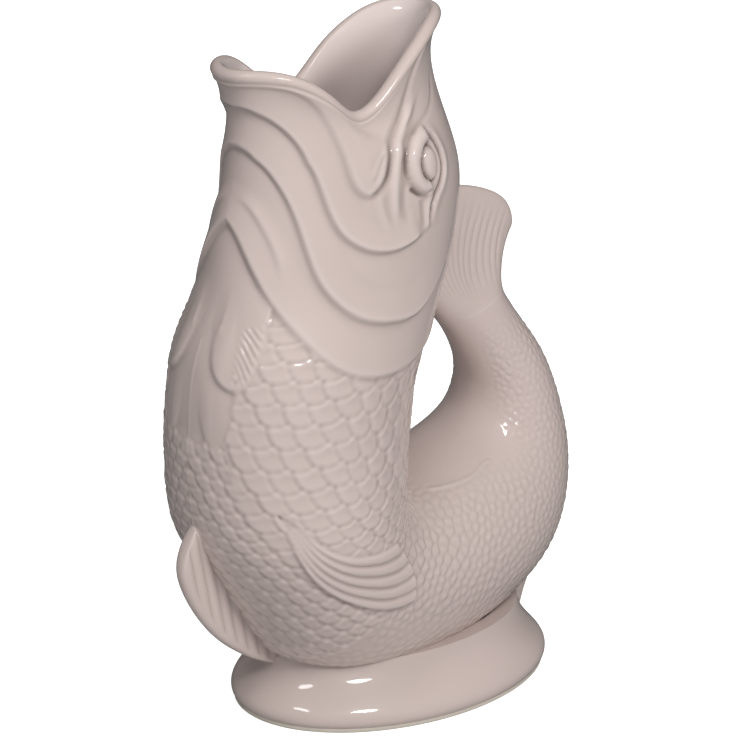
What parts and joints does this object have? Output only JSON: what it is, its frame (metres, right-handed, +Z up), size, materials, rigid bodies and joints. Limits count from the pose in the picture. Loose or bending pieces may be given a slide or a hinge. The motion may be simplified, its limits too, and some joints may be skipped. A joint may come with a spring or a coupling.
{
  "type": "gurgle jug",
  "caption": "Fish-shaped ceramic gurgle jug: open mouth as pouring spout, hollow upturned tail as handle, oval pedestal foot, overlapping gill covers, ribbed fins and glossy glaze.",
  "frame": {"origin": "centre of the face that the jug stands on, under the middle of the oval foot", "axes": "+Z up, the lower lip that pours looks along -Y and the tail handle along +Y, X across the fish, which is mirrored in the plane X = 0"},
  "size_m": [0.0912, 0.1668, 0.2458],
  "materials": {
    "glaze_body": "clear gloss glaze over a pale mushroom pink-grey body",
    "glaze_plates": "the same gloss glaze on the smooth plates of the head",
    "glaze_fins": "the same gloss glaze on the rayed fins",
    "glaze_eyes": "the same gloss glaze on the eyes and their lids",
    "bare_clay": "wiped, unglazed fired clay"
  },
  "bodies": {
    "root": {"head": "glaze_body", "trunk": "glaze_body", "tail": "glaze_body", "tail_fin": "glaze_fins", "foot": "glaze_body", "foot_ring": "bare_clay", "belly_fin": "glaze_fins", "keel_fin": "glaze_fins", "gill_left": "glaze_plates", "gill_right": "glaze_plates", "inner_gill_left": "glaze_plates", "inner_gill_right": "glaze_plates", "cheek_left": "glaze_plates", "cheek_right": "glaze_plates", "flap_left": "glaze_plates", "flap_right": "glaze_plates", "eye_left": "glaze_eyes", "eye_right": "glaze_eyes", "eyelid_left": "glaze_eyes", "eyelid_right": "glaze_eyes", "breast_fin_left": "glaze_fins", "breast_fin_right": "glaze_fins", "breast_lobe_left": "glaze_fins", "breast_lobe_right": "glaze_fins", "side_fin_left": "glaze_fins", "side_fin_right": "glaze_fins"}
  },
  "joints": []
}
